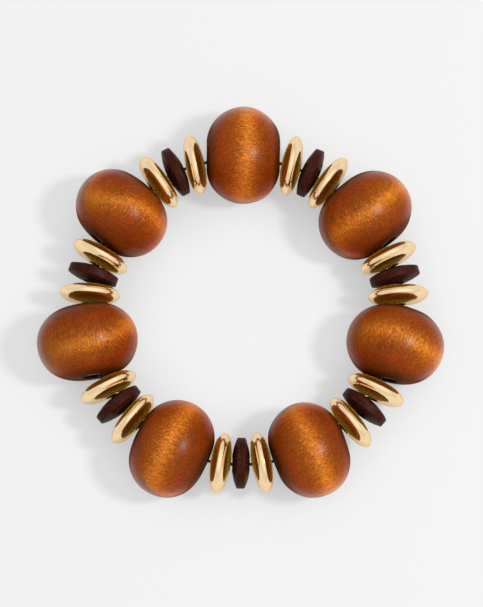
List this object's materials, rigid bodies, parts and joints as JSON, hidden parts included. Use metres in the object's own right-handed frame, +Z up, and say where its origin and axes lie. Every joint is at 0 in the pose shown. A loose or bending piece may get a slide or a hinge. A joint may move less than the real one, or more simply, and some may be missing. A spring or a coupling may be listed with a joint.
{
  "type": "beaded stretch bracelet",
  "caption": "Stretch bracelet of large oblate wooden beads with a gold, a dark wooden and a gold disc between them, strung on a thin black elastic and laid flat.",
  "frame": {"origin": "middle of the bracelet's bounding box, on the surface that the large beads rest on", "axes": "the bracelet lies flat: +Z up along the way a hand goes through it, +X and +Y the right and the top of the picture, +X being its longest extent"},
  "size_m": [0.1036, 0.1009, 0.0258],
  "materials": {
    "orange_wood": "dyed orange-brown wood with a satin lacquer",
    "gold": "pale gold plating, mirror-polished",
    "dark_wood": "dark brown stained wood, satin",
    "elastic": "black stretch elastic"
  },
  "bodies": {
    "root": {"wood_bead_1": "orange_wood", "wood_bead_2": "orange_wood", "wood_bead_3": "orange_wood", "wood_bead_4": "orange_wood", "wood_bead_5": "orange_wood", "wood_bead_6": "orange_wood", "wood_bead_7": "orange_wood", "gold_disc_1": "gold", "gold_disc_2": "gold", "gold_disc_3": "gold", "gold_disc_4": "gold", "gold_disc_5": "gold", "gold_disc_6": "gold", "gold_disc_7": "gold", "gold_disc_8": "gold", "gold_disc_9": "gold", "gold_disc_10": "gold", "gold_disc_11": "gold", "gold_disc_12": "gold", "gold_disc_13": "gold", "gold_disc_14": "gold", "dark_disc_1": "dark_wood", "dark_disc_2": "dark_wood", "dark_disc_3": "dark_wood", "dark_disc_4": "dark_wood", "dark_disc_5": "dark_wood", "dark_disc_6": "dark_wood", "dark_disc_7": "dark_wood", "elastic_cord": "elastic"}
  },
  "joints": []
}
